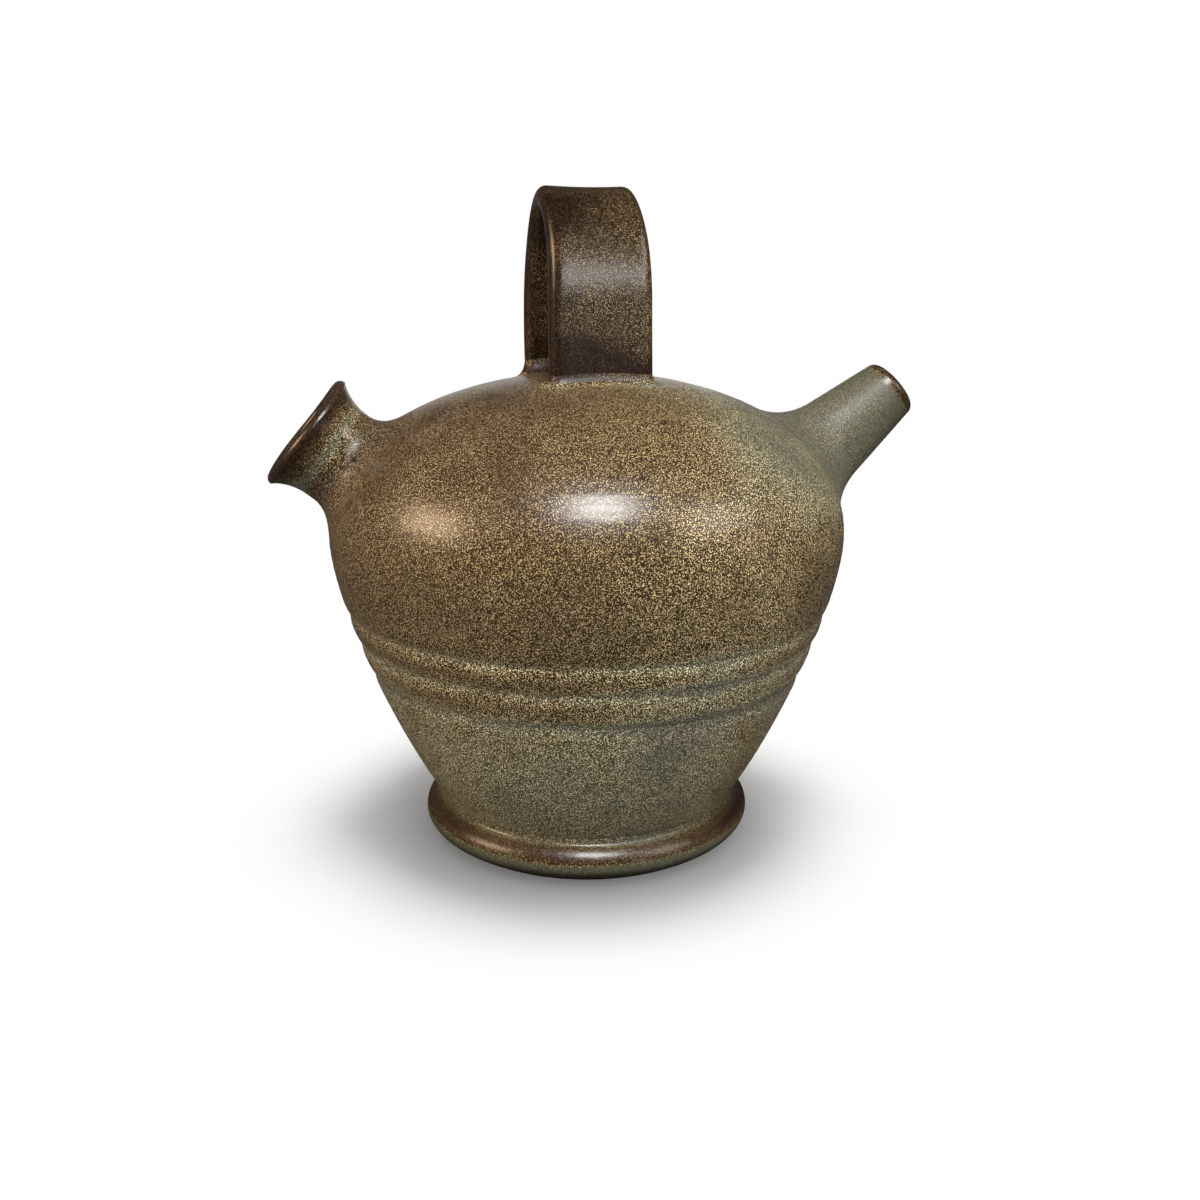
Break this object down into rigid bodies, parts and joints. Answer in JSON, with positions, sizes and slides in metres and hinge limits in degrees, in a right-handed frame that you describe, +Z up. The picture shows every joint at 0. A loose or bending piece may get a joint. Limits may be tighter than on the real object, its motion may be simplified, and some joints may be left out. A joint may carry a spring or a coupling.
{
  "type": "ring-handled water jug",
  "caption": "Closed round water jug of speckled brown glazed stoneware with a flared filling mouth, a tapered drinking spout, a strap handle arched over the crown and a rolled foot.",
  "frame": {"origin": "centre of the flat base, on the wheel's axis and on the table", "axes": "+Z up along the wheel's axis, +X towards the drinking spout, -X towards the filling mouth, -Y the front in the picture"},
  "size_m": [0.2401, 0.19, 0.2389],
  "materials": {
    "speckled_glaze": "semi-gloss brown stoneware glaze with fine cream speckles",
    "foot_glaze": "semi-gloss dark brown stoneware glaze, breaking reddish on the crest",
    "pooled_glaze": "semi-gloss grey-green glaze pooled in the joints"
  },
  "bodies": {
    "root": {"body": "speckled_glaze", "foot_ring": "foot_glaze", "filling_mouth": "speckled_glaze", "drinking_spout": "speckled_glaze", "handle": "speckled_glaze", "mouth_luting": "pooled_glaze", "spout_luting": "pooled_glaze", "handle_front_luting": "pooled_glaze", "handle_rear_luting": "pooled_glaze"}
  },
  "joints": []
}
